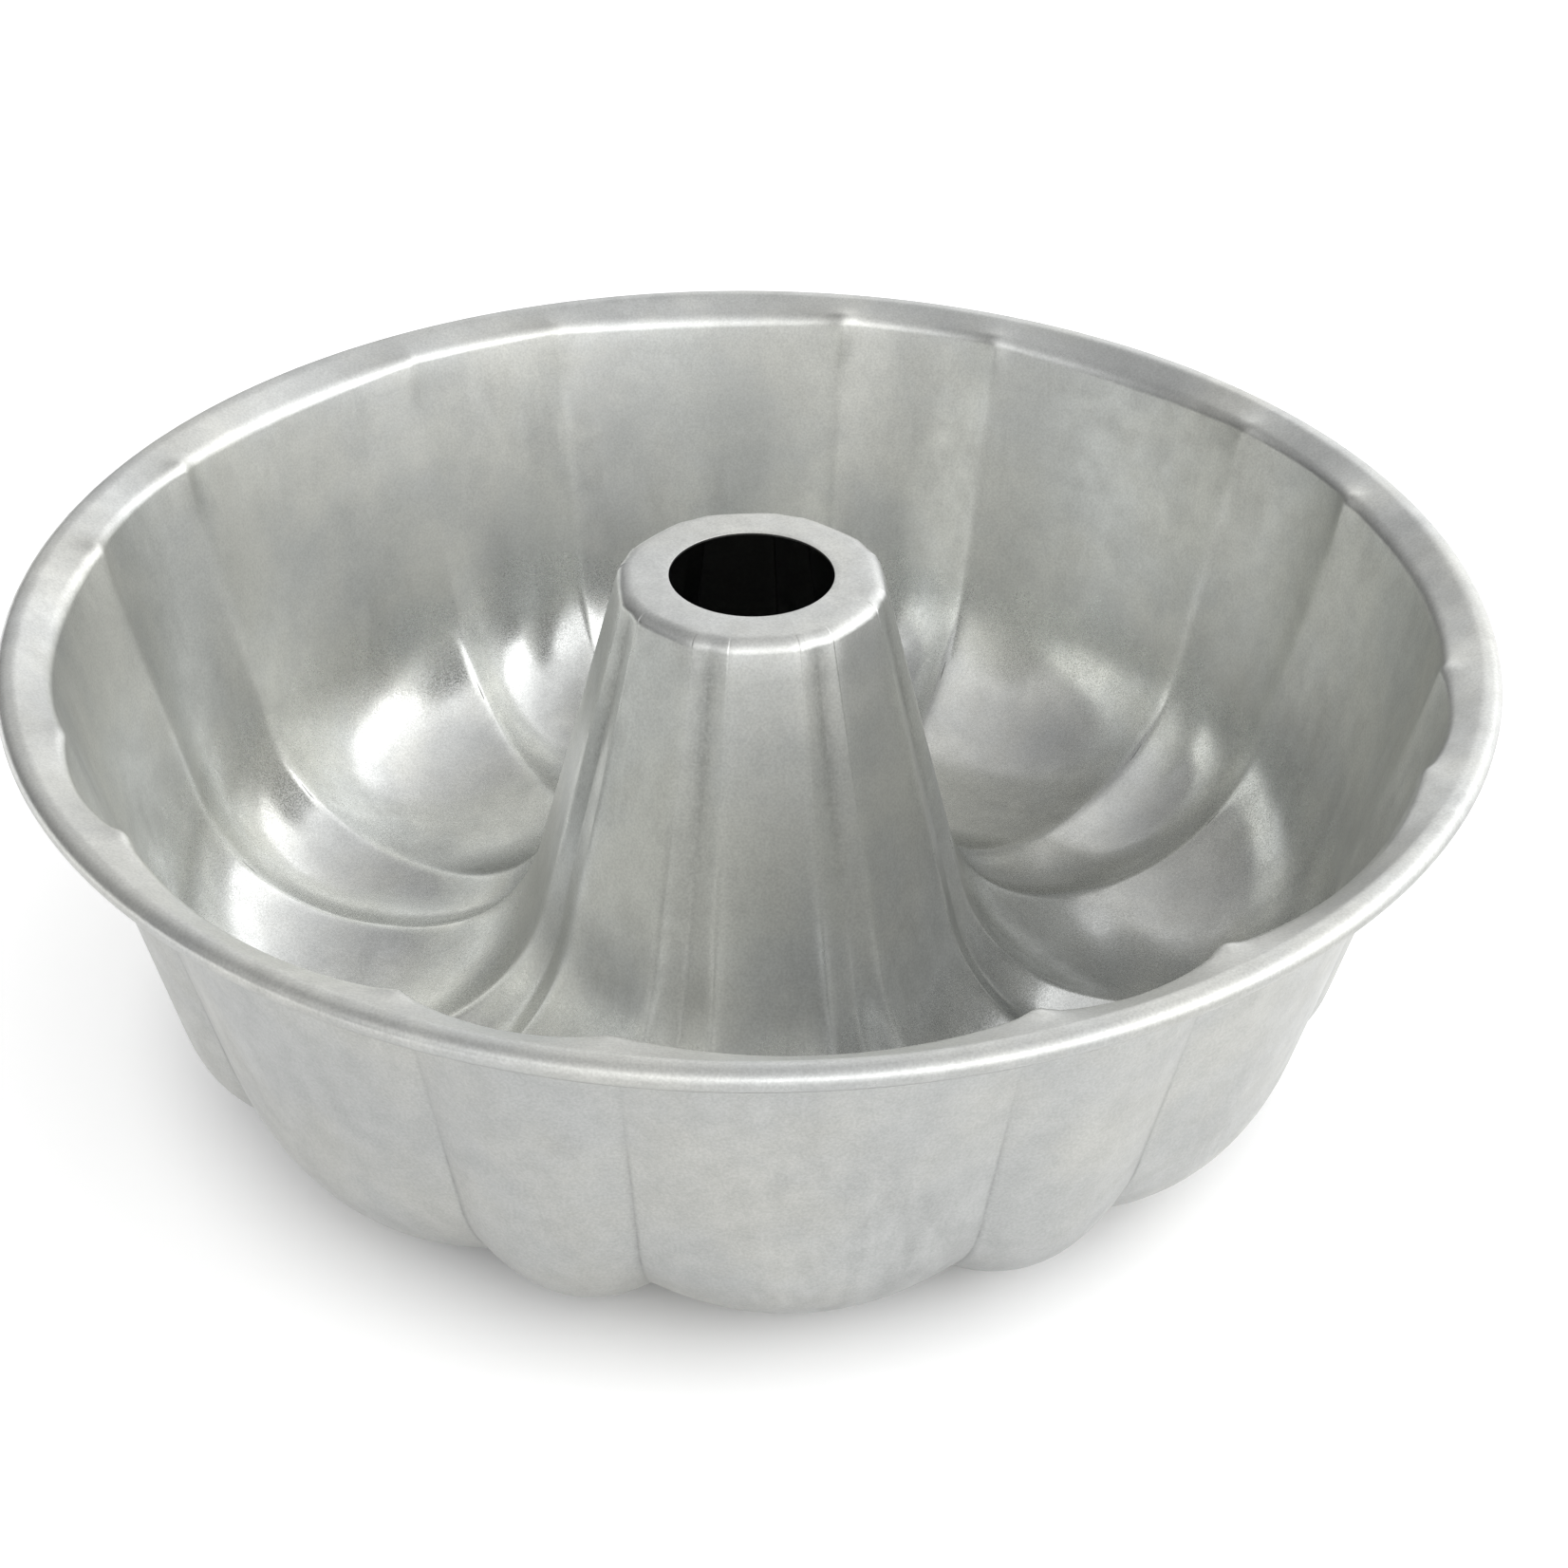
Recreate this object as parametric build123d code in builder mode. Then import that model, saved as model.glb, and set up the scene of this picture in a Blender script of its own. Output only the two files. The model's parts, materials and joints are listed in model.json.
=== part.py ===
from build123d import *
from math import cos, radians, sin, tan
import os

# A fluted tube cake pan, drawn and curled from one sheet of aluminised steel.
# Millimetres, +Z up, mouth up.  The origin is on the pan's axis, level with the
# undersides of the flutes that it stands on.  A wide flute is centred on +X.

# ---- sheet and rim -------------------------------------------------------------
sheet = 0.5                 # steel thickness
rim_radius = 136.5          # outside of the rolled bead
bead_radius = 2.1           # outside radius of the bead's own section
wire_clearance = 0.05       # between the rim wire and the curl around it
curl_angle = 310.0          # how far the edge of the sheet wraps around the wire

# ---- flutes --------------------------------------------------------------------
flute_pairs = 8             # one wide and one narrow flute in each pair
narrow_angle = 15.75        # degrees round the axis that a narrow flute takes
sections_per_flute = 7      # meridian sections that each flute is lofted through

# ---- the meridians that shape the sheet --------------------------------------------
# Each is the cake side of the sheet: where its straight runs would meet, and the
# bend radii that round those corners.  "ridge" is the line between two flutes, and
# the others are the middles of the two kinds of flute.  Depths are below the top of
# the rim, and the draft is the lean of the tube's side in degrees.
ridge = {
    "mouth": 126.0,         # radius of the corner between flange and wall
    "mouth_depth": 1.5,     # the flange is dished down to that corner
    "foot": 105.5,          # radius of the corner between wall and trough floor
    "depth": 85.5,          # trough floor
    "outer_bend": 37.0,     # wall into floor
    "inner_bend": 34.5,     # floor into tube
    "tube": 25.0,           # radius of the corner at the top of the tube
    "draft": 14.8,
}
wide_flute = {
    "mouth": 127.3,
    "mouth_depth": 3.6,
    "foot": 108.3,
    "depth": 88.5,
    "outer_bend": 33.5,
    "inner_bend": 32.0,
    "tube": 24.2,
    "draft": 14.3,
}
narrow_flute = wide_flute | {"mouth": 127.6, "mouth_depth": 2.9, "tube": 24.7, "draft": 14.1}
shoulder_radius = 133.0     # where the flange's slope would meet the level top of the rim
shoulder_bend = 3.0         # top of the rim into flange
mouth_bend = 3.5            # flange into wall
tube_rise = 5.0             # top of the tube above the top of the rim
tube_top_bend = 3.0         # side of the tube into its flat top
hole_radius = 15.3          # pierced through the flat top of the tube
crown_radius = 19.0         # the flat top of the tube is plain inside this radius
plain_radius = 134.0        # the rim is plain outside this radius

# ---- worked out from the above ----------------------------------------------------
rim_top = wide_flute["depth"] + sheet
tube_top = rim_top + tube_rise
bead_centre = rim_radius - bead_radius
curl_inside = bead_radius - sheet
pair_angle = 360.0 / flute_pairs
wide_angle = pair_angle - narrow_angle


def blend(flute, fullness):
    """Meridian values between the ridge (fullness 0) and the flute's middle (1)."""
    return {name: ridge[name] + (flute[name] - ridge[name]) * fullness for name in ridge}


def cake_side(size):
    """Corner points (radius, height) of the cake side of the sheet, rim to hole."""
    floor = rim_top - size["depth"]
    tube_foot = size["tube"] + (tube_top - floor) * tan(radians(size["draft"]))
    return [
        Vector(bead_centre, rim_top),
        Vector(shoulder_radius, rim_top),
        Vector(size["mouth"], rim_top - size["mouth_depth"]),
        Vector(size["foot"], floor),
        Vector(tube_foot, floor),
        Vector(size["tube"], tube_top),
        Vector(crown_radius - 1.0, tube_top),
    ]


def bends(size, thicker):
    """Bend radii at the inner corners; thicker is how far the skin lies below."""
    return [
        shoulder_bend - thicker,
        mouth_bend - thicker,
        size["outer_bend"] + thicker,
        size["inner_bend"] + thicker,
        tube_top_bend - thicker,
    ]


def under_side(corners):
    """The same corner points, moved square to each run by the sheet's thickness."""
    shifts = []
    for start, end in zip(corners, corners[1:]):
        run = (end - start).normalized()
        shifts.append(Vector(-run.Y, run.X) * sheet)
    moved = [corners[0] + shifts[0]]
    for corner, before, after in zip(corners[1:-1], shifts, shifts[1:]):
        middle = (before + after).normalized()
        moved.append(corner + middle * (sheet * sheet / middle.dot(before)))
    moved.append(corners[-1] + shifts[-1])
    return moved


def meridian_plane(angle):
    """The half plane at an angle round the axis: x is radius and y is height."""
    outward = (cos(radians(angle)), sin(radians(angle)), 0)
    square = (sin(radians(angle)), -cos(radians(angle)), 0)
    return Plane(origin=(0, 0, 0), x_dir=outward, z_dir=square)


def flute_sections(middle, width):
    """(angle, fullness) of each section: a flute's plan is a parabola."""
    steps = [2.0 * i / (sections_per_flute - 1) - 1.0 for i in range(sections_per_flute)]
    return [(middle + step * width / 2.0, 1.0 - step * step) for step in steps]


def add_flute(flute, middle, width):
    """Loft one flute of the sheet, from ridge to ridge, into the open part."""
    outlines = []
    for angle, fullness in flute_sections(middle, width):
        size = blend(flute, fullness)
        top = cake_side(size)
        below = under_side(top)
        with BuildSketch(meridian_plane(angle)) as outline:
            with BuildLine():
                FilletPolyline(*top, radius=bends(size, 0.0))
                Line(top[-1], below[-1])
                FilletPolyline(*below, radius=bends(size, sheet))
                Line(below[0], top[0])
            make_face()
        outlines.append(outline.sketch)
    loft(sections=outlines)


# ---- one pair of flutes, the region that repeats round the axis -------------------
with BuildPart() as flute_pair:
    add_flute(wide_flute, 0.0, wide_angle)
    add_flute(narrow_flute, pair_angle / 2.0, narrow_angle)
    with BuildSketch(Plane.XZ):
        with Locations(((crown_radius + plain_radius) / 2.0, tube_top / 2.0)):
            Rectangle(plain_radius - crown_radius, tube_top + 2.0)
    revolve(axis=Axis.Z, mode=Mode.INTERSECT)

# ---- crown: the flat top of the tube, with the hole through it --------------------
with BuildPart() as crown:
    with BuildSketch(Plane.XY.offset(tube_top - sheet)):
        Circle(crown_radius)
        Circle(hole_radius, mode=Mode.SUBTRACT)
    extrude(amount=sheet)

# ---- rolled bead: the rim's edge curled down round the wire -----------------------
bead_middle = Vector(bead_centre, rim_top - bead_radius)
with BuildPart() as rolled_bead:
    with BuildSketch(Plane.XY.offset(rim_top - sheet)):
        Circle(bead_centre)
        Circle(plain_radius, mode=Mode.SUBTRACT)
    extrude(amount=sheet)
    with BuildSketch(Plane.XZ) as curl:
        with BuildLine() as curl_line:
            CenterArc(bead_middle, bead_radius, 90, -curl_angle)
            CenterArc(bead_middle, curl_inside, 90, -curl_angle)
            Line(curl_line.edges()[0] @ 0, curl_line.edges()[1] @ 0)
            Line(curl_line.edges()[0] @ 1, curl_line.edges()[1] @ 1)
        make_face()
    revolve(axis=Axis.Z)

# ---- the shell: flutes, flange, trough, tube and bead, all one sheet ---------------
with BuildPart() as fluted_shell:
    with PolarLocations(0, flute_pairs):
        add(flute_pair.part)
    add(crown.part)
    add(rolled_bead.part)
fluted_shell.part.label = "fluted_shell"

# ---- rim wire: the closed steel ring that stiffens the bead ----------------------
with BuildPart() as rim_wire:
    with BuildSketch(Plane.XZ):
        with Locations(bead_middle):
            Circle(curl_inside - wire_clearance)
    revolve(axis=Axis.Z)
rim_wire.part.label = "rim_wire"

os.makedirs("parts", exist_ok=True)
export_step(fluted_shell.part, "parts/fluted_shell.step")
export_step(rim_wire.part, "parts/rim_wire.step")
print("fluted_shell", len(fluted_shell.solids()), "solid, volume", round(fluted_shell.part.volume))
print("rim_wire", len(rim_wire.solids()), "solid, volume", round(rim_wire.part.volume))
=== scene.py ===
"""The looks of the fluted tube cake pan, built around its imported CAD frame.

Everything is in metres in the row frame: +Z up, the pan's axis on Z, standing on z = 0,
with the middle of a wide flute on +X.
"""

import json
import math

import bpy
import numpy as np
from mathutils import Matrix, Vector


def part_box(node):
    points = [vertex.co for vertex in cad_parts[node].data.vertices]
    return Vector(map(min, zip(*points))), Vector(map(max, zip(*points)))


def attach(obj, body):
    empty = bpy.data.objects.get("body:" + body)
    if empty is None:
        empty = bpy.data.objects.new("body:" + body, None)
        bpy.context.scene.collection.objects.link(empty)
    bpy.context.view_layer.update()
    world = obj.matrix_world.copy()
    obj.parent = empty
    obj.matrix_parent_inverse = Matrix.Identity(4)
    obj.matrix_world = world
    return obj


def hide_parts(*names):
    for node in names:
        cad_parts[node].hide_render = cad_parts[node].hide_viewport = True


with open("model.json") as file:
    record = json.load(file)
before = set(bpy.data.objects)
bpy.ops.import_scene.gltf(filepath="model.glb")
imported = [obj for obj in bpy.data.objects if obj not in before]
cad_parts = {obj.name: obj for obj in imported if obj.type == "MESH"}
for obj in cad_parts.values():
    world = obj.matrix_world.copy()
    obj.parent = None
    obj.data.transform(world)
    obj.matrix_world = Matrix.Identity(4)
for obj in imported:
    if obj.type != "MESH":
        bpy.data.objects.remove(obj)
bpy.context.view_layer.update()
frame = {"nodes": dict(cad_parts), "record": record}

MM = 0.001

# ---- sizes taken from the frame ----------------------------------------------------
shell_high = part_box("fluted_shell")[1]
mounts = {mount["name"]: mount for mount in frame["record"]["mounts"]}
RIM_RADIUS = shell_high.x
CROWN_TOP = shell_high.z
FLANGE_TOP = mounts["flange_top"]["pos_m"][2]
HOLE_RADIUS = mounts["tube_hole"]["dims"]["r_mm"] * MM
SHEET = mounts["tube_hole"]["dims"]["length_mm"] * MM

# ---- shape of the sheet: close to the CAD part's, and marked by the press -----------
# Each meridian is the cake side of the sheet, seen in the plane of radius and height:
# where its straight runs would meet, and the bends that round those corners.
# A ridge is the line between two flutes.  The draft is the lean of the tube's side.
# Sizes are in millimetres, the depths are below the rim, and the draft is in degrees.
RIDGE = {
    "mouth": 126.0, "mouth_depth": 1.5, "mouth_bend": 2.6,
    "foot": 105.5, "depth": 85.5, "outer_bend": 37.0, "inner_bend": 34.5,
    "tube": 25.0, "draft": 15.0,
}
WIDE = {
    "mouth": 127.3, "mouth_depth": 3.6, "mouth_bend": 4.4,
    "foot": 108.3, "depth": 88.5, "outer_bend": 33.5, "inner_bend": 32.0,
    "tube": 24.35, "draft": 14.15,
}
NARROW = WIDE | {"mouth": 127.6, "mouth_depth": 2.9, "mouth_bend": 3.2, "tube": 24.6, "draft": 13.9}
SHOULDER_RADIUS = 133.0 * MM    # where the flange's slope would meet the level top of the rim
SHOULDER_BEND = 3.0 * MM
TUBE_TOP_BEND = 3.0 * MM
FLUTE_PAIRS = 8
WIDE_HALF = 14.625              # degrees from the middle of a wide flute to its ridge
NARROW_HALF = 7.875             # the same for a narrow flute
RIDGE_ROUNDING = 1.4 * MM       # how far from a ridge's line its rounding reaches
WALL_ROUNDING = 2.0 * MM        # the same on the wall, where the sheet was pressed less
CREASE_ROUNDING = 0.35 * MM     # the same on the outside of the wall, where the sheet folds in
WALL_ZONE = (0.108, 0.118)      # radii between which the wall's rounding comes in
CREASE_ZONE = (0.088, 0.104)    # and the crease's
VALLEY_POWER = 1.25             # of a narrow flute's plan on the tube: 1 is a V, 2 a parabola
VALLEY_ROUNDING = 0.1           # of its middle, as a share of half the flute's width
TUBE_ZONE = (0.040, 0.058)      # radii between which that shape comes in
PINCH = 0.80 * MM               # of the sheet where a ridge runs out at the mouth
PINCH_REACH = 2.2 * MM          # to either side of the ridge
PINCH_START = (0.8 * MM, 2.0 * MM)      # depths below the rim that the pinch comes in between
PINCH_END = (14.0 * MM, 4.0 * MM)       # and goes out between
PINCH_ZONE = (0.100, 0.110)     # radii that keep it on the wall
PINCH_MEAN = 0.65               # the pinches differ from ridge to ridge around this share
PINCH_SWING = 0.35
PINCH_WAVES = 5.0               # swings of their depth in one turn round the pan
PINCH_PHASE = 1.0
TUBE_GROOVE = 0.35 * MM         # extra depth of the narrow flutes near the top of the tube
GROOVE_START = (1.0 * MM, 7.0 * MM)     # depths below the tube's top that it comes in between
GROOVE_END = (0.040, 0.065)     # heights that it goes out between
BEAD_OUTSIDE = 2.1 * MM         # radius of the rolled edge
CURL_ANGLE = 310.0              # degrees that the edge of the sheet wraps around the wire
EDGE_ROUNDING = 0.07 * MM       # of the sheet's two cut edges
EDGE_LEANS = (30.0, 60.0, 90.0)         # degrees round each of their corners
EDGE_POINTS = 2 * len(EDGE_LEANS)

# ---- finish of the sheet, with its painted shade and highlight ----------------------
# Each pair is a radius, a height or a depth where a mark starts and where it is full.
WALL_SIDE_OF_TROUGH = (0.062, 0.074)    # radii
WALL_POLISH = (0.050, 0.015)            # heights
TUBE_POLISH = (0.030, 0.005)            # heights
MOUTH_HEIGHTS = (0.0815, 0.0850)
MOUTH_RADII = (0.1300, 0.1280)
BEAD_RADII = (0.1350, 0.1356)
TUBE_TOP_HEIGHTS = (0.0890, 0.0915)
BEND_POLISH = 0.25                      # of the mouth, the bead and the tube's top
TUBE_RADII = (0.058, 0.044)
TUBE_HEIGHTS = (0.0935, 0.0890)
WALL_RADII = (0.090, 0.100)
WALL_HEIGHTS = (0.0880, 0.0840)
VALLEY_WIDTH = 1.7 * MM                 # of the painted shade in the narrow flutes of the tube
VALLEY_HEIGHTS = (0.020, 0.075)
CREASE_WIDTH = 0.6 * MM                 # of the painted shade line down each crease outside
CREASE_HEIGHTS = (0.110, 0.010)
RIDGE_WIDTH = 1.5 * MM                  # of the wear along each ridge in the trough: polished, and lighter as a painted highlight
RIDGE_HEIGHTS = (0.065, 0.035)
# Where the bore under the crown is painted in shade, by radius and height.
BORE_RADII = (0.060, 0.040)
BORE_HEIGHTS = (0.004, 0.030)
CURL_SHADE_DEPTHS = (0.8 * MM, 2.0 * MM)     # below the rim: the curl's lower side, painted in shade
CURL_SHADOW_DEPTHS = (2.9 * MM, 3.7 * MM)     # and the painted shadow line under it
CURL_SHADOW_SHARE = 0.8                         # of the creases' painted shade, for that shadow line

# ---- fineness of the mesh -----------------------------------------------------------
WIDE_STEPS = 28
NARROW_STEPS = 20
CURL_STEPS = 18
STRAIGHT_STEPS = (1, 4, 16, 3, 14, 5)   # of the meridian's straight runs, from rim to hole
BEND_STEPS = (5, 9, 20, 17, 7)          # and of the bends between them


def smoothstep(low, high, values):
    """0 at low and 1 at high, with an eased rise.  High may lie below low."""
    share = np.clip((values - low) / (high - low), 0.0, 1.0)
    return share * share * (3.0 - 2.0 * share)


def blend(name, fullness, narrow):
    """A meridian value between the ridge (0) and the middle of a flute (1)."""
    middle = np.where(narrow, NARROW[name], WIDE[name])
    return RIDGE[name] + (middle - RIDGE[name]) * fullness


def corner_points(fullness, narrow):
    """Radius and height of the meridian's corners, for arrays of fullness values."""
    floor = FLANGE_TOP - blend("depth", fullness, narrow) * MM
    tube = blend("tube", fullness, narrow) * MM
    draft = np.radians(blend("draft", fullness, narrow))
    mouth_height = FLANGE_TOP - blend("mouth_depth", fullness, narrow) * MM
    level = np.ones_like(fullness)
    corners = [
        (level * (RIM_RADIUS - BEAD_OUTSIDE), level * FLANGE_TOP),
        (level * SHOULDER_RADIUS, level * FLANGE_TOP),
        (blend("mouth", fullness, narrow) * MM, mouth_height),
        (blend("foot", fullness, narrow) * MM, floor),
        (tube + (CROWN_TOP - floor) * np.tan(draft), floor),
        (tube, level * CROWN_TOP),
        (level * (HOLE_RADIUS + EDGE_ROUNDING), level * CROWN_TOP),
    ]
    return [np.stack(corner, axis=-1) for corner in corners]


def bend_radii(fullness, narrow):
    """Radii of the five bends, from the rim to the top of the tube."""
    level = np.ones_like(fullness)
    mouth = blend("mouth_bend", fullness, narrow) * MM
    outer = blend("outer_bend", fullness, narrow) * MM
    inner = blend("inner_bend", fullness, narrow) * MM
    return [level * SHOULDER_BEND, mouth, outer, inner, level * TUBE_TOP_BEND]


def meridian_stations():
    """(kind, index, share) of each point along a meridian: straight run or bend."""
    stations = []
    for index, steps in enumerate(STRAIGHT_STEPS):
        stations += [("straight", index, step / steps) for step in range(steps)]
        if index < len(BEND_STEPS):
            steps = BEND_STEPS[index]
            stations += [("bend", index, step / steps) for step in range(steps)]
    stations.append(("straight", len(STRAIGHT_STEPS) - 1, 1.0))
    return stations


def station_point(station, fullness, narrow):
    """Radius and height of one station for an array of fullness values."""
    kind, index, share = station
    corners = corner_points(fullness, narrow)
    radii = bend_radii(fullness, narrow)
    runs = [after - before for before, after in zip(corners, corners[1:])]
    lengths = [np.linalg.norm(run, axis=-1, keepdims=True) for run in runs]
    along = [run / length for run, length in zip(runs, lengths)]

    def turn(bend):
        before, after = along[bend], along[bend + 1]
        cross = before[..., 0] * after[..., 1] - before[..., 1] * after[..., 0]
        dot = (before * after).sum(axis=-1)
        return np.arctan2(cross, dot)

    def trim(bend):
        return (radii[bend] * np.tan(np.abs(turn(bend)) / 2.0))[..., None]

    if kind == "straight":
        start = corners[index] + (along[index] * trim(index - 1) if index > 0 else 0.0)
        end = corners[index + 1] - (along[index] * trim(index) if index < len(radii) else 0.0)
        return start + (end - start) * share
    angle = turn(index)
    side = np.sign(angle)[..., None]
    before = along[index]
    square = np.stack([-before[..., 1], before[..., 0]], axis=-1) * side
    radius = radii[index][..., None]
    start = corners[index + 1] - before * trim(index)
    swept = np.abs(angle)[..., None] * share
    return start + before * radius * np.sin(swept) + square * radius * (1.0 - np.cos(swept))


def around_angles():
    """Angles in degrees round the axis, closer together at the ridges and narrow valleys."""
    def spread(steps):
        return np.sin(np.linspace(-1.0, 1.0, steps + 1)[:-1] * math.pi / 2.0)

    half = 0.5 * spread(NARROW_STEPS // 2)
    both_halves = np.concatenate([half - 0.5, half + 0.5])
    angles = []
    for pair in range(FLUTE_PAIRS):
        middle = pair * 360.0 / FLUTE_PAIRS
        angles += list(middle + WIDE_HALF * spread(WIDE_STEPS))
        angles += list(middle + 180.0 / FLUTE_PAIRS + NARROW_HALF * both_halves)
    return np.array(angles)


def from_ridge_line(angles):
    """Degrees from the nearest ridge: above 0 in a narrow flute, below 0 in a wide one."""
    half_pair = 180.0 / FLUTE_PAIRS
    return np.abs((angles + half_pair) % (2.0 * half_pair) - half_pair) - WIDE_HALF


def fullness_at(angles, radius, valley_power, rounding_reach):
    """How full the flute is at each angle, and whether it is a narrow one.

    The ridges are rounded at this radius.  A narrow flute's plan is a parabola where
    the power is 2 and nears a V as it falls to 1.
    """
    from_ridge = from_ridge_line(angles)
    narrow = from_ridge > 0.0
    wide_full = 1.0 - (1.0 + from_ridge / WIDE_HALF) ** 2
    narrow_share = np.sqrt((1.0 - from_ridge / NARROW_HALF) ** 2 + VALLEY_ROUNDING ** 2)
    narrow_full = 1.0 - narrow_share ** valley_power
    slope = (valley_power / NARROW_HALF + 2.0 / WIDE_HALF) / 2.0
    rounding = math.degrees(rounding_reach / radius)
    eased = slope * (np.sqrt(from_ridge ** 2 + rounding ** 2) - np.abs(from_ridge))
    return np.where(narrow, narrow_full, wide_full) + eased, narrow


def cake_side(angles, wall_rounding, zone):
    """Grid of points (angle, station, xyz) on the cake side, from the bead to the hole.

    The rounding of the ridges changes to the wall's within a zone of radii.
    """
    columns = []
    for station in meridian_stations():
        on_ridge = station_point(station, np.zeros(1), np.zeros(1, bool))[0]
        power = VALLEY_POWER + (2.0 - VALLEY_POWER) * smoothstep(*TUBE_ZONE, on_ridge[0])
        rounding = RIDGE_ROUNDING + (wall_rounding - RIDGE_ROUNDING) * smoothstep(*zone, on_ridge[0])
        full, narrow = fullness_at(angles, on_ridge[0], power, rounding)
        columns.append(station_point(station, full, narrow))
    flat = np.stack(columns, axis=1)
    turn = np.radians(angles)[:, None]
    return np.stack([flat[..., 0] * np.cos(turn), flat[..., 0] * np.sin(turn), flat[..., 1]], axis=-1)


def press_marks(angles, points):
    """How far the sheet stands proud of its plain shape, on the cake side.

    It is pinched inwards where each ridge runs out at the mouth, and the narrow flutes
    are deeper just below the top of the tube.
    """
    radius = np.hypot(points[..., 0], points[..., 1])
    off_ridge = np.radians(from_ridge_line(angles))[:, None] * radius
    across = np.exp(-(off_ridge / PINCH_REACH) ** 2)
    height = points[..., 2]
    below_rim = FLANGE_TOP - height
    down = smoothstep(*PINCH_START, below_rim) * smoothstep(*PINCH_END, below_rim)
    on_wall = smoothstep(*PINCH_ZONE, radius)
    swing = np.sin(np.radians(angles) * PINCH_WAVES + PINCH_PHASE)[:, None]
    pinch = PINCH * across * down * on_wall * (PINCH_MEAN + PINCH_SWING * swing)
    valley = np.maximum(from_ridge_line(angles) / NARROW_HALF, 0.0)[:, None]
    near_top = smoothstep(*GROOVE_START, CROWN_TOP - height) * smoothstep(*GROOVE_END, height)
    return pinch - TUBE_GROOVE * valley * near_top * (1.0 - on_wall)


def grid_normals(points):
    """Unit normals of the grid, pointing to the cake side."""
    around = np.roll(points, -1, axis=0) - np.roll(points, 1, axis=0)
    along = np.gradient(points, axis=1)
    normals = np.cross(along, around)
    normals /= np.linalg.norm(normals, axis=-1, keepdims=True)
    return normals * np.sign(normals[:, :1, 2:3])


def revolved(angles, outline):
    """Grid of points made by turning a list of (radius, height) about the axis."""
    outline = np.array(outline)
    turn = np.radians(angles)[:, None]
    height = np.ones_like(turn) * outline[:, 1]
    return np.stack([np.cos(turn) * outline[:, 0], np.sin(turn) * outline[:, 0], height], axis=-1)


def cut_edge(outward, first, last):
    """Rounded outline of the sheet's cut edge, between the corners of its two skins."""
    first, last = np.array(first), np.array(last)
    across = (last - first) / np.linalg.norm(last - first)
    outward = np.array(outward)
    points = []
    for corner, sense in ((first, 1.0), (last, -1.0)):
        pivot = corner + across * EDGE_ROUNDING * sense
        leans = EDGE_LEANS if sense > 0 else EDGE_LEANS[::-1]
        for degrees in leans:
            lean = math.radians(degrees)
            reach = outward * math.sin(lean) - across * sense * math.cos(lean)
            points.append(tuple(pivot + reach * EDGE_ROUNDING))
    return points


def hole_edge():
    """Outline of the pierced hole's edge, from the crown's top to its underside."""
    radius = HOLE_RADIUS + EDGE_ROUNDING
    return cut_edge((-1.0, 0.0), (radius, CROWN_TOP), (radius, CROWN_TOP - SHEET))


def curl_outline():
    """Outline of the curl, from under the flange round the wire and back over the top."""
    centre = np.array([RIM_RADIUS - BEAD_OUTSIDE, FLANGE_TOP - BEAD_OUTSIDE])

    def at(radius, swept):
        lean = math.radians(90.0 - swept)
        return tuple(centre + radius * np.array([math.cos(lean), math.sin(lean)]))

    turns = [CURL_ANGLE * step / CURL_STEPS for step in range(1, CURL_STEPS + 1)]
    inside = [at(BEAD_OUTSIDE - SHEET, turn) for turn in turns]
    outside = [at(BEAD_OUTSIDE, turn) for turn in reversed(turns)]
    end = math.radians(90.0 - CURL_ANGLE)
    onward = (math.sin(end), -math.cos(end))
    return inside + cut_edge(onward, inside[-1], outside[0]) + outside


def mesh_object(name, points):
    """A closed mesh from a grid of points that wraps round both ways."""
    rows, columns = points.shape[:2]
    first = np.arange(rows)[:, None] * columns + np.arange(columns)[None, :]
    beside = np.roll(first, -1, axis=1)
    next_row = np.roll(first, -1, axis=0)
    faces = np.stack([first, beside, np.roll(beside, -1, axis=0), next_row], axis=-1)
    mesh = bpy.data.meshes.new(name)
    mesh.from_pydata(points.reshape(-1, 3).tolist(), [], faces.reshape(-1, 4).tolist())
    mesh.validate()
    mesh.shade_smooth()
    piece = bpy.data.objects.new(name, mesh)
    bpy.context.scene.collection.objects.link(piece)
    return piece


def add_attribute(piece, name, values):
    """A value for each vertex, for the material to read."""
    attribute = piece.data.attributes.new(name, "FLOAT", "POINT")
    attribute.data.foreach_set("value", np.asarray(values, np.float32).ravel())


def polish_of(points):
    """How smooth the press left the sheet: 1 where it was stretched into the trough."""
    radius = np.hypot(points[..., 0], points[..., 1])
    height = points[..., 2]
    outer_side = smoothstep(*WALL_SIDE_OF_TROUGH, radius)
    low_on_wall = smoothstep(*WALL_POLISH, height)
    low_on_tube = smoothstep(*TUBE_POLISH, height)
    mouth = smoothstep(*MOUTH_HEIGHTS, height) * smoothstep(*MOUTH_RADII, radius)
    bead = smoothstep(*BEAD_RADII, radius)
    tube_top = smoothstep(*TUBE_TOP_HEIGHTS, height)
    wall = low_on_wall + BEND_POLISH * (mouth + bead)
    tube = low_on_tube + BEND_POLISH * tube_top
    return tube + (wall - tube) * outer_side


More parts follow.
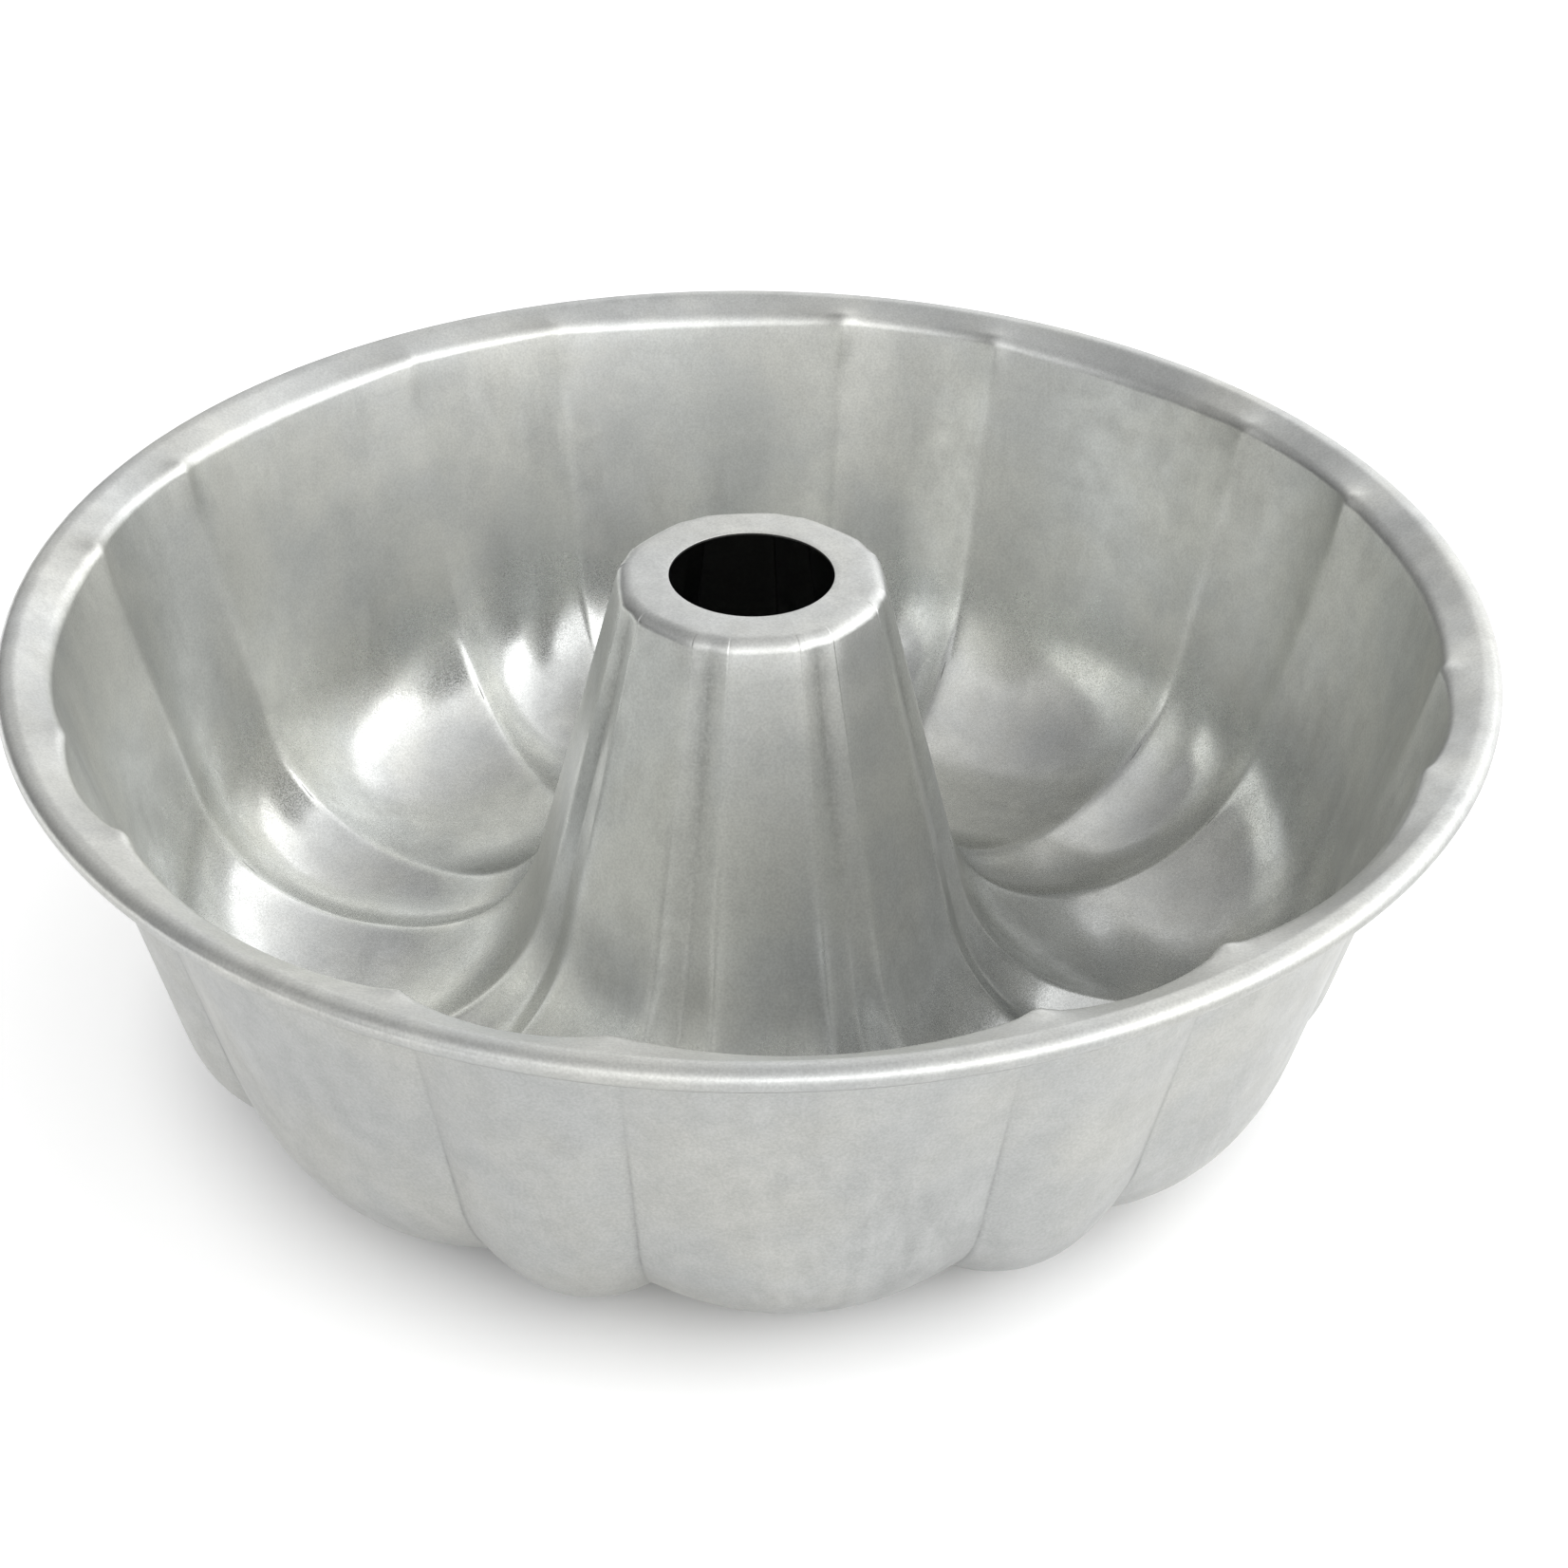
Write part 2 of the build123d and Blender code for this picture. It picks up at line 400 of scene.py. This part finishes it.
def add_wear_and_painted_shade(piece, angles, points, cake_columns):
    """Values that the material reads: polish, worn ridges with a painted highlight, and painted shade
    in the tube's valleys, down the creases, under the curl, in the bore and on the outside.
    """
    radius = np.hypot(points[..., 0], points[..., 1])
    height = points[..., 2]
    to_ridge = np.radians(from_ridge_line(angles))[:, None] * radius
    to_valley = np.radians(from_ridge_line(angles) - NARROW_HALF)[:, None] * radius
    column = np.arange(points.shape[1])
    under_starts = cake_columns + EDGE_POINTS
    curl_starts = under_starts + cake_columns
    cake = (column < cake_columns).astype(float)
    under = ((column >= under_starts) & (column < curl_starts)).astype(float)
    curl = (column >= curl_starts).astype(float)
    on_tube = smoothstep(*TUBE_RADII, radius) * smoothstep(*TUBE_HEIGHTS, height)
    on_wall = smoothstep(*WALL_RADII, radius) * smoothstep(*WALL_HEIGHTS, height)
    # Painted shade down the middle of each narrow flute on the tube.
    valley = np.exp(-(to_valley / VALLEY_WIDTH) ** 2) * smoothstep(*VALLEY_HEIGHTS, height)
    # Painted shade down each crease outside, stronger towards the bottom.
    painted_crease_shade = np.exp(-(to_ridge / CREASE_WIDTH) ** 2) * smoothstep(*CREASE_HEIGHTS, height)
    in_trough = np.maximum(smoothstep(*RIDGE_HEIGHTS, height), on_tube > 0.0)
    # Painted shade on the curl's lower side, joined to the outside's.
    curl_underside_shade = curl * smoothstep(*CURL_SHADE_DEPTHS, FLANGE_TOP - height)
    # Painted shadow line under the curl.
    curl_painted_shadow = curl * smoothstep(*CURL_SHADOW_DEPTHS, FLANGE_TOP - height)
    wear_and_painted_shade = {
        "polish": polish_of(points) * (1.0 - under),
        "valley": valley * on_tube * cake,
        "painted_crease_shade": painted_crease_shade * on_wall * under + CURL_SHADOW_SHARE * curl_painted_shadow,
        # Worn ridges: real polish, and a painted highlight in the colour.
        "ridge": np.exp(-(to_ridge / RIDGE_WIDTH) ** 2) * cake * in_trough,
        # Painted shade inside the tube's bore.
        "bore": smoothstep(*BORE_RADII, radius) * smoothstep(*BORE_HEIGHTS, height) * under,
        # The outside and the curl's lower side take painted shade.
        "outside": under + curl_underside_shade,
    }
    for name, values in wear_and_painted_shade.items():
        add_attribute(piece, name, values)


def build_shell():
    """The pressed and curled sheet as one closed mesh."""
    angles = around_angles()
    inner = cake_side(angles, WALL_ROUNDING, WALL_ZONE)
    creased = cake_side(angles, CREASE_ROUNDING, CREASE_ZONE)
    under = creased - grid_normals(creased) * SHEET
    inner += grid_normals(inner) * press_marks(angles, inner)[..., None]
    under += grid_normals(creased) * press_marks(angles, creased)[..., None]
    under[:, 0, 2] = FLANGE_TOP - SHEET     # level with the inside of the curl
    loop = [inner, revolved(angles, hole_edge()), under[:, ::-1], revolved(angles, curl_outline())]
    points = np.concatenate(loop, axis=1)
    points[..., 2] = np.maximum(points[..., 2], 0.0)    # nothing dips below the floor
    piece = mesh_object("pressed_shell", points)
    add_wear_and_painted_shade(piece, angles, points, inner.shape[1])
    return piece


shell = build_shell()
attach(shell, "root")
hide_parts("fluted_shell")


# ---- materials ----------------------------------------------------------------------
GREENISH = (0.638, 0.641, 0.612, 1.0)     # the two colours of the aluminium's clouds
BLUISH = (0.618, 0.629, 0.620, 1.0)
OUTSIDE_SHADE = 0.69                      # of the colour, where each mark is full: painted shade, but a painted highlight on the ridges
VALLEY_SHADE = 0.74
CREASE_SHADE = 0.60
RIDGE_PAINTED_HIGHLIGHT = 1.04
BORE_SHADE = 0.35
SATIN_ROUGHNESS = 0.37                    # where the press only bent the sheet
BURNISHED_ROUGHNESS = (0.17, 0.32)        # on the high spots of the grain, and in its pores
RIDGE_POLISH = 0.30                       # as a share of the trough's
WIRE_DARK = (0.40, 0.39, 0.38, 1.0)
WIRE_LIGHT = (0.52, 0.51, 0.49, 1.0)
NONE_TO_ALL = (0.0, 1.0)


class Nodes:
    """Short ways to add and link nodes in one material."""

    def __init__(self, name):
        self.material = bpy.data.materials.new(name)
        self.material.use_nodes = True
        self.tree = self.material.node_tree
        self.tree.nodes.clear()
        self.shader = self.add("ShaderNodeBsdfPrincipled")
        self.link(self.shader.outputs["BSDF"], self.add("ShaderNodeOutputMaterial").inputs["Surface"])

    def add(self, kind, **settings):
        node = self.tree.nodes.new(kind)
        for name, value in settings.items():
            setattr(node, name, value)
        return node

    def link(self, output, socket):
        self.tree.links.new(output, socket)

    def feed(self, socket, value):
        """Sets a socket to a number or colour, or links it to a node's output."""
        if isinstance(value, bpy.types.NodeSocket):
            self.link(value, socket)
        else:
            socket.default_value = value

    def attribute(self, name):
        return self.add("ShaderNodeAttribute", attribute_name=name).outputs["Fac"]

    def place(self):
        return self.add("ShaderNodeTexCoord").outputs["Object"]

    def stretched(self, vector, scale):
        node = self.add("ShaderNodeMapping")
        self.link(vector, node.inputs["Vector"])
        node.inputs["Scale"].default_value = scale
        return node.outputs["Vector"]

    def noise(self, vector, scale, detail, roughness):
        node = self.add("ShaderNodeTexNoise")
        self.link(vector, node.inputs["Vector"])
        node.inputs["Scale"].default_value = scale
        node.inputs["Detail"].default_value = detail
        node.inputs["Roughness"].default_value = roughness
        return node.outputs["Fac"]

    def math(self, operation, *values):
        node = self.add("ShaderNodeMath", operation=operation)
        for socket, value in zip(node.inputs, values):
            self.feed(socket, value)
        return node.outputs["Value"]

    def length(self, vector):
        node = self.add("ShaderNodeVectorMath", operation="LENGTH")
        self.link(vector, node.inputs[0])
        return node.outputs["Value"]

    def remap(self, value, within, to):
        """Eases from one value to another as the input passes from limit to limit."""
        node = self.add("ShaderNodeMapRange", interpolation_type="SMOOTHSTEP")
        for socket, item in zip(node.inputs[:5], (value, *within, *to)):
            self.feed(socket, item)
        return node.outputs["Result"]

    def mix_value(self, share, first, second):
        node = self.add("ShaderNodeMix", data_type="FLOAT")
        for index, item in ((0, share), (2, first), (3, second)):
            self.feed(node.inputs[index], item)
        return node.outputs[0]

    def mix_colour(self, share, first, second, blend="MIX"):
        node = self.add("ShaderNodeMix", data_type="RGBA", blend_type=blend)
        for index, item in ((0, share), (6, first), (7, second)):
            self.feed(node.inputs[index], item)
        return node.outputs[2]

    def bump(self, height, distance, strength=1.0, normal=None):
        node = self.add("ShaderNodeBump")
        self.link(height, node.inputs["Height"])
        node.inputs["Distance"].default_value = distance
        node.inputs["Strength"].default_value = strength
        if normal is not None:
            self.link(normal, node.inputs["Normal"])
        return node.outputs["Normal"]


def aluminised_steel():
    """Satin aluminium-coated sheet: grain, clouds, faint draw marks, polish worn in by the press, and
    painted shade and highlight.
    """
    nodes = Nodes("aluminised_steel")
    place = nodes.place()

    def times(first, second):
        return nodes.math("MULTIPLY", first, second)

    clouds = nodes.noise(place, scale=24.0, detail=5.0, roughness=0.6)
    mottle = nodes.noise(place, scale=170.0, detail=4.0, roughness=0.6)
    grain = nodes.noise(place, scale=2100.0, detail=2.0, roughness=0.6)
    waves = nodes.noise(place, scale=55.0, detail=2.0, roughness=0.5)
    upright = nodes.stretched(place, (150.0, 150.0, 16.0))
    streaks = nodes.noise(upright, scale=1.0, detail=3.0, roughness=0.6)
    patches = nodes.noise(place, scale=30.0, detail=2.0, roughness=0.5)
    specks = nodes.noise(place, scale=1100.0, detail=3.0, roughness=0.7)
    pores = nodes.noise(place, scale=3600.0, detail=2.0, roughness=0.5)

    # The tint is the coating's own unevenness, then painted shade on the outside, in the tube's
    # valleys, down the creases, under the curl and in the bore, and a painted highlight along the
    # ridges.
    tint = nodes.remap(clouds, (0.30, 0.70), (1.04, 0.96))
    tint = times(tint, nodes.remap(mottle, (0.30, 0.70), (0.96, 1.04)))
    tint = times(tint, nodes.remap(grain, (0.25, 0.75), (0.91, 1.09)))
    # Painted shade on the outside of the sheet and the curl's lower side.
    tint = times(tint, nodes.remap(nodes.attribute("outside"), NONE_TO_ALL, (1.0, OUTSIDE_SHADE)))
    streak_tint = nodes.remap(streaks, (0.35, 0.65), (-0.06, 0.05))
    streak_share = nodes.remap(patches, (0.45, 0.62), NONE_TO_ALL)
    tint = nodes.math("MULTIPLY_ADD", streak_tint, streak_share, tint)
    # The ridge value polishes the sheet and also paints a highlight on its colour.
    ridge = nodes.attribute("ridge")
    # Painted shade in the tube's narrow valleys, broken up by specks.
    painted_valley_shade = times(nodes.attribute("valley"), nodes.remap(specks, (0.30, 0.70), (1.0, 0.45)))
    # Painted shade down the creases and under the curl, made uneven by the mottle.
    painted_crease_shade = times(nodes.attribute("painted_crease_shade"), nodes.remap(mottle, (0.35, 0.65), (0.5, 1.0)))
    marks = (
        (painted_valley_shade, VALLEY_SHADE),
        (painted_crease_shade, CREASE_SHADE),
        (ridge, RIDGE_PAINTED_HIGHLIGHT),
        # Painted shade inside the bore.
        (nodes.attribute("bore"), BORE_SHADE),
    )
    for mark, full_shade in marks:
        tint = times(tint, nodes.remap(mark, NONE_TO_ALL, (1.0, full_shade)))
    grey = nodes.add("ShaderNodeCombineColor")
    for channel in ("Red", "Green", "Blue"):
        nodes.link(tint, grey.inputs[channel])
    colour = nodes.mix_colour(nodes.remap(clouds, (0.38, 0.62), NONE_TO_ALL), GREENISH, BLUISH)
    colour = nodes.mix_colour(1.0, colour, grey.outputs["Color"], "MULTIPLY")
    nodes.link(colour, nodes.shader.inputs["Base Color"])

    # The press burnished the high spots of the grain, so polished sheet is both smooth and rough.
    burnished = nodes.remap(pores, (0.42, 0.58), BURNISHED_ROUGHNESS)
    worn = nodes.math("MAXIMUM", nodes.attribute("polish"), times(ridge, RIDGE_POLISH))
    rough = nodes.mix_value(worn, SATIN_ROUGHNESS, burnished)
    rough = nodes.math("ADD", rough, nodes.remap(mottle, (0.30, 0.70), (0.03, -0.03)))
    rough = nodes.math("ADD", rough, nodes.remap(clouds, (0.35, 0.65), (0.03, -0.03)))
    nodes.link(rough, nodes.shader.inputs["Roughness"])
    nodes.shader.inputs["Metallic"].default_value = 1.0

    normal = nodes.bump(waves, distance=0.12 * MM)
    normal = nodes.bump(streaks, distance=0.02 * MM, strength=0.6, normal=normal)
    normal = nodes.bump(grain, distance=0.03 * MM, strength=0.35, normal=normal)
    nodes.link(normal, nodes.shader.inputs["Normal"])
    return nodes.material


def drawn_wire():
    """Dull grey wire with fine marks round it from the die."""
    nodes = Nodes("drawn_wire")
    place = nodes.place()
    mottle = nodes.noise(place, scale=220.0, detail=3.0, roughness=0.6)
    flattened = nodes.stretched(place, (400.0, 400.0, 3000.0))
    marks = nodes.noise(flattened, scale=1.0, detail=2.0, roughness=0.5)
    nodes.link(nodes.mix_colour(mottle, WIRE_DARK, WIRE_LIGHT), nodes.shader.inputs["Base Color"])
    nodes.link(nodes.remap(mottle, (0.3, 0.7), (0.38, 0.52)), nodes.shader.inputs["Roughness"])
    nodes.shader.inputs["Metallic"].default_value = 1.0
    nodes.link(nodes.bump(marks, distance=0.02 * MM, strength=0.6), nodes.shader.inputs["Normal"])
    return nodes.material


def give(piece, material):
    """Puts one material on the whole piece."""
    piece.data.materials.clear()
    piece.data.materials.append(material)


give(shell, aluminised_steel())
give(frame["nodes"]["rim_wire"], drawn_wire())


# ---- camera -------------------------------------------------------------------------
MOUTH = Vector((0.0, 0.0, FLANGE_TOP))    # the middle of the pan's mouth
CAMERA_AZIMUTH = math.radians(263.73)     # where it stands, round the pan's axis
CAMERA_ELEVATION = math.radians(34.39)
CAMERA_ROLL = math.radians(0.79)
CAMERA_DISTANCE = 0.52075                 # along its optical axis, from the mouth's middle
CAMERA_OFFSET = (-0.0060, 0.0346)         # the mouth's middle in the view, right and up
CAMERA_LENS = 64.63                       # mm
SENSOR_WIDTH = 36.0                       # mm
CLIP_START = 0.01


def direction(around, above):
    """Unit vector at an angle round the axis and one above the floor, in radians."""
    level = math.cos(above)
    return Vector((level * math.cos(around), level * math.sin(around), math.sin(above)))


def make_camera():
    """A camera above the front rim, looking down into the trough."""
    back = direction(CAMERA_AZIMUTH, CAMERA_ELEVATION)
    right = Vector((-math.sin(CAMERA_AZIMUTH), math.cos(CAMERA_AZIMUTH), 0.0))
    up = back.cross(right)
    tilted_right = right * math.cos(CAMERA_ROLL) + up * math.sin(CAMERA_ROLL)
    tilted_up = up * math.cos(CAMERA_ROLL) - right * math.sin(CAMERA_ROLL)
    aim = MOUTH - tilted_right * CAMERA_OFFSET[0] - tilted_up * CAMERA_OFFSET[1]
    place = aim + back * CAMERA_DISTANCE
    turned = Matrix((tilted_right, tilted_up, back)).transposed().to_4x4()
    data = bpy.data.cameras.new("camera")
    data.lens = CAMERA_LENS
    data.sensor_width = SENSOR_WIDTH
    data.clip_start = CLIP_START
    camera = bpy.data.objects.new("camera", data)
    bpy.context.scene.collection.objects.link(camera)
    camera.matrix_world = Matrix.Translation(place) @ turned
    bpy.context.scene.camera = camera


make_camera()


# ---- floor, sky and lights ----------------------------------------------------------
FLOOR_RADIUS = 150.0
FLOOR_SIDES = 96
FLOOR_GREYS = ((0.86, 0.86, 0.86, 1.0), (0.88, 0.88, 0.88, 1.0))
FLOOR_ROUGHNESS = 0.8
FLOOR_GLOW = 0.45                         # a little light of its own, as a lit sweep has
GLOW_AND_SHADOW_RADII = (0.085, 0.128)               # it comes in between these, with none under the pan: a painted shadow round its foot
WHITE = (1.0, 1.0, 1.0, 1.0)
# (sine of the height above the floor, brightness)
SKY_BY_HEIGHT = ((0.0, 0.80), (0.30, 1.36), (0.50, 1.40), (0.72, 0.96), (0.90, 0.76), (1.0, 0.72))
SKY_STRENGTH = 2.0                        # the ramp's colours stay under 1 with this
BRIGHT_SIDE = math.radians(335.0)         # the way round to the brighter side of the sky
SIDE_CONTRAST = 0.85


def make_floor():
    """A wide pale disc at the level that the pan stands on."""
    turns = [2.0 * math.pi * side / FLOOR_SIDES for side in range(FLOOR_SIDES)]
    rim = [(FLOOR_RADIUS * math.cos(turn), FLOOR_RADIUS * math.sin(turn), 0.0) for turn in turns]
    mesh = bpy.data.meshes.new("floor")
    mesh.from_pydata(rim, [], [list(range(FLOOR_SIDES))])
    floor = bpy.data.objects.new("floor", mesh)
    bpy.context.scene.collection.objects.link(floor)
    nodes = Nodes("pale_floor")
    place = nodes.place()
    mottle = nodes.noise(place, scale=9.0, detail=3.0, roughness=0.5)
    nodes.link(nodes.mix_colour(mottle, *FLOOR_GREYS), nodes.shader.inputs["Base Color"])
    # The floor's glow fades out towards the pan, painting a soft shadow round its foot.
    glow_and_painted_shadow = nodes.remap(nodes.length(place), GLOW_AND_SHADOW_RADII, (0.0, FLOOR_GLOW))
    nodes.link(glow_and_painted_shadow, nodes.shader.inputs["Emission Strength"])
    nodes.shader.inputs["Emission Color"].default_value = WHITE
    nodes.shader.inputs["Roughness"].default_value = FLOOR_ROUGHNESS
    give(floor, nodes.material)


def make_sky():
    """A plain studio: brightest a little above the floor and on one side, dim overhead."""
    world = bpy.data.worlds.new("studio")
    bpy.context.scene.world = world
    world.use_nodes = True
    nodes, links = world.node_tree.nodes, world.node_tree.links
    toward = nodes.new("ShaderNodeTexCoord").outputs["Generated"]
    split = nodes.new("ShaderNodeSeparateXYZ")
    links.new(toward, split.inputs["Vector"])
    ramp = nodes.new("ShaderNodeValToRGB")
    ramp.color_ramp.interpolation = "EASE"
    stops = ramp.color_ramp.elements
    while len(stops) < len(SKY_BY_HEIGHT):
        stops.new(0.5)
    for stop, (height, brightness) in zip(stops, SKY_BY_HEIGHT):
        grey = brightness / SKY_STRENGTH
        stop.position = height
        stop.color = (grey, grey, grey, 1.0)
    links.new(split.outputs["Z"], ramp.inputs["Fac"])
    side = nodes.new("ShaderNodeVectorMath")
    side.operation = "DOT_PRODUCT"
    links.new(toward, side.inputs[0])
    side.inputs[1].default_value = direction(BRIGHT_SIDE, 0.0)
    strength = nodes.new("ShaderNodeMath")
    strength.operation = "MULTIPLY_ADD"
    links.new(side.outputs["Value"], strength.inputs[0])
    strength.inputs[1].default_value = SIDE_CONTRAST * SKY_STRENGTH
    strength.inputs[2].default_value = SKY_STRENGTH
    sky = nodes["Background"]
    links.new(ramp.outputs["Color"], sky.inputs["Color"])
    links.new(strength.outputs["Value"], sky.inputs["Strength"])

    # Low views look past the floor's edge: there the backdrop is as pale as the floor.
    backdrop = nodes.new("ShaderNodeBackground")
    backdrop.inputs["Color"].default_value = WHITE
    seen = nodes.new("ShaderNodeLightPath").outputs["Is Camera Ray"]
    either = nodes.new("ShaderNodeMixShader")
    links.new(seen, either.inputs[0])
    links.new(sky.outputs["Background"], either.inputs[1])
    links.new(backdrop.outputs["Background"], either.inputs[2])
    links.new(either.outputs["Shader"], nodes["World Output"].inputs["Surface"])


def make_softbox(name, around, above, distance, width, height, brightness):
    """A rectangular light that faces the middle of the pan's mouth, with angles in degrees."""
    back = direction(math.radians(around), math.radians(above))
    data = bpy.data.lights.new(name, "AREA")
    data.shape = "RECTANGLE"
    data.size, data.size_y = width, height
    data.energy = brightness * math.pi * width * height
    light = bpy.data.objects.new(name, data)
    light.location = MOUTH + back * distance
    light.rotation_euler = back.to_track_quat("Z", "Y").to_euler()
    bpy.context.scene.collection.objects.link(light)


make_floor()
make_sky()
make_softbox(
    "strip_light", around=326.0, above=33.0, distance=2.2, width=0.08, height=0.8, brightness=1.2
)
bpy.context.scene.view_settings.view_transform = "Standard"
